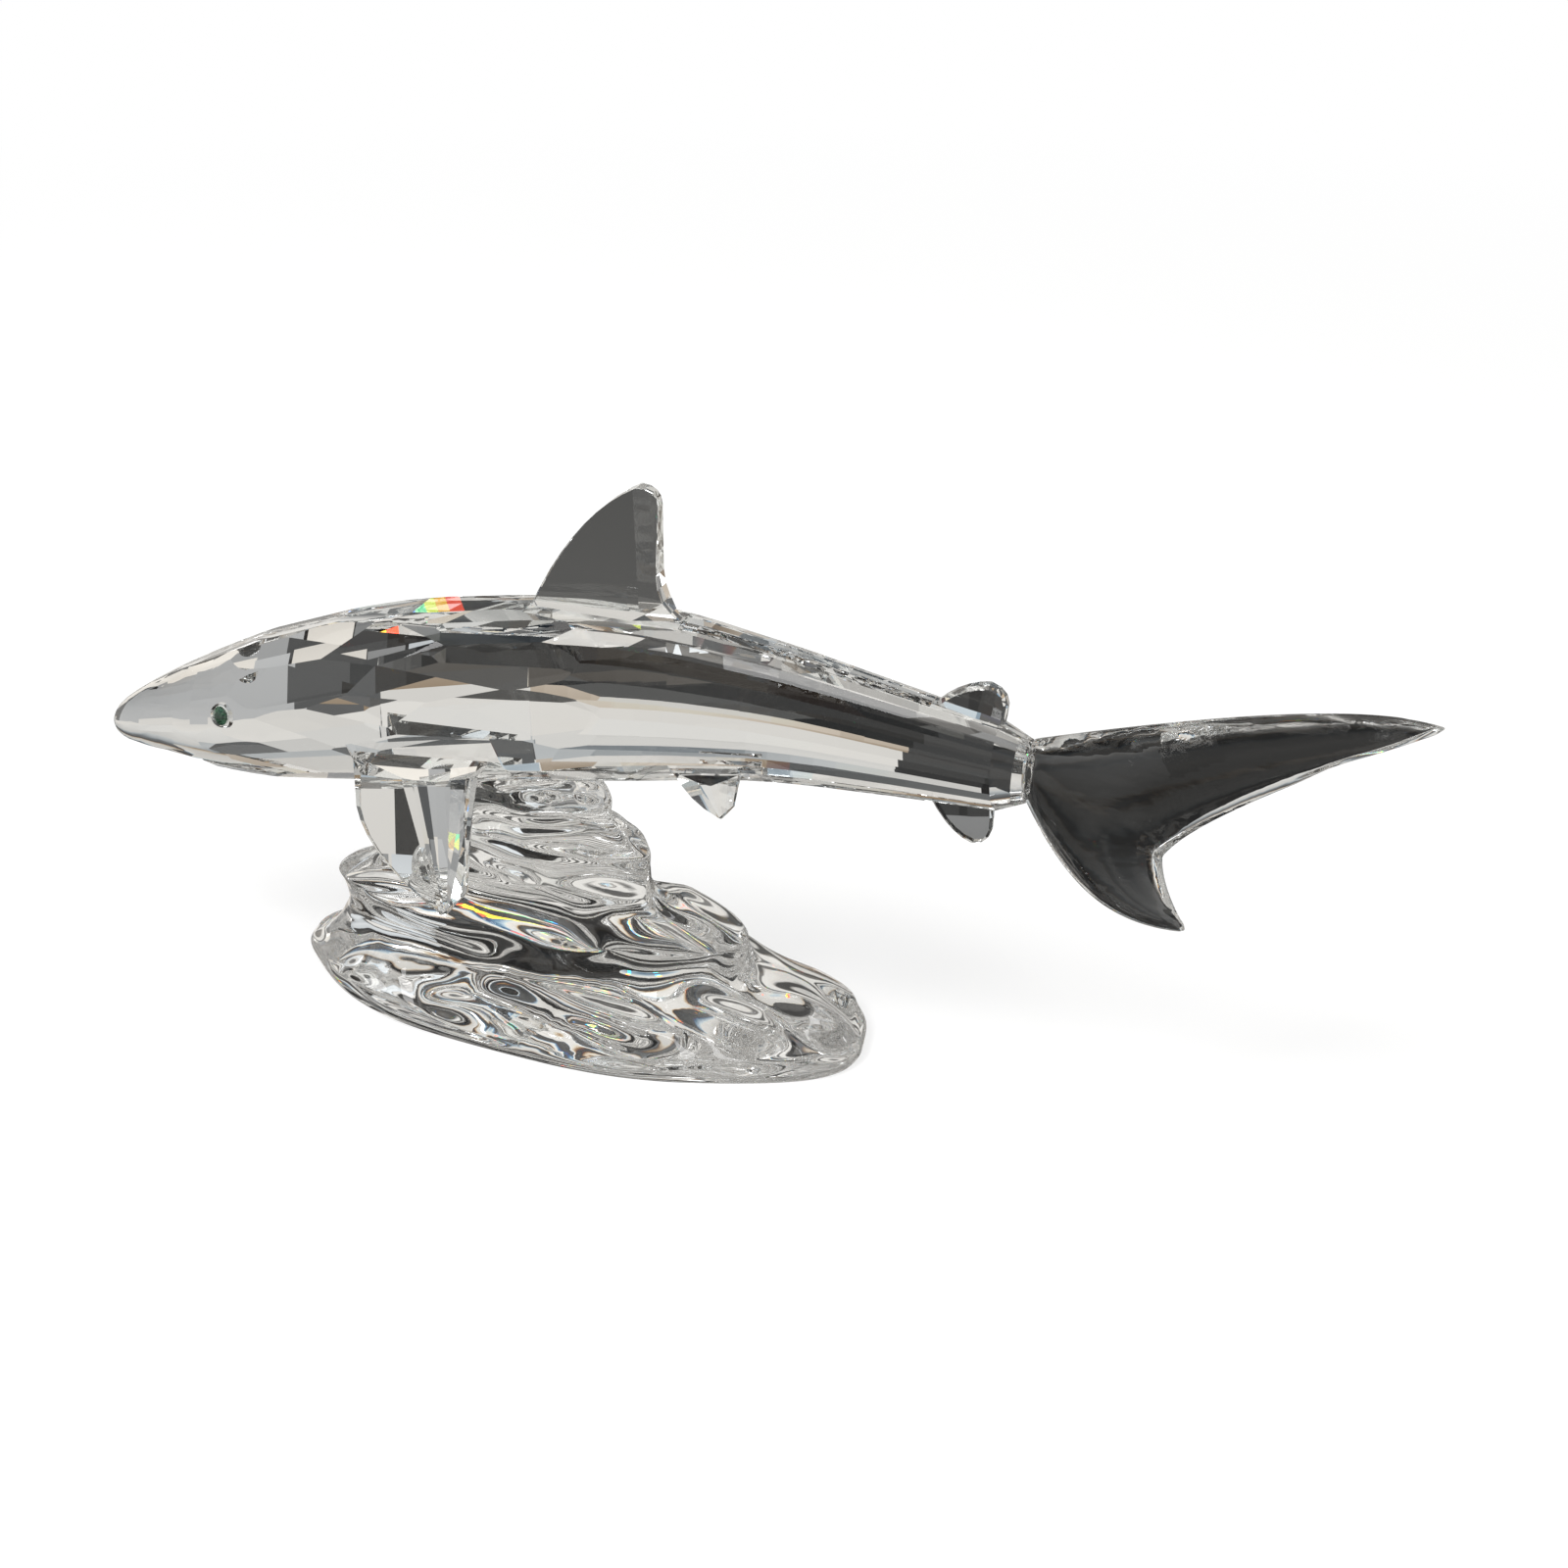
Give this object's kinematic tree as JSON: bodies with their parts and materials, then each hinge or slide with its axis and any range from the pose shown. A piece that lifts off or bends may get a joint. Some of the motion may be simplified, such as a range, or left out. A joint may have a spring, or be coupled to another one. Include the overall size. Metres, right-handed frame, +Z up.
{
  "type": "crystal shark figurine",
  "caption": "Cut-crystal shark with ground facets and clear moulded tail, poised on the crest of a layered glass wave base",
  "frame": {"origin": "on the table, under the middle of the base's foot", "axes": "X runs from the nose to the tail, the shark's left side faces -Y, Z is up"},
  "size_m": [0.1946, 0.0474, 0.0784],
  "materials": {
    "clear_crystal": "polished ground facets",
    "fin_crystal": "polished ground facets",
    "tail_crystal": "fire-polished, moulded",
    "base_crystal": "fire-polished, moulded",
    "eye_stone": "dark green polished stone"
  },
  "bodies": {
    "root": {"shark_body": "clear_crystal", "dorsal_fin": "fin_crystal", "second_dorsal_fin": "fin_crystal", "pectoral_fin_left": "fin_crystal", "pectoral_fin_right": "fin_crystal", "pelvic_fin_left": "fin_crystal", "pelvic_fin_right": "fin_crystal", "anal_fin": "fin_crystal", "tail_fin": "tail_crystal", "eye_left": "eye_stone", "eye_right": "eye_stone", "wave_base": "base_crystal"}
  },
  "joints": []
}
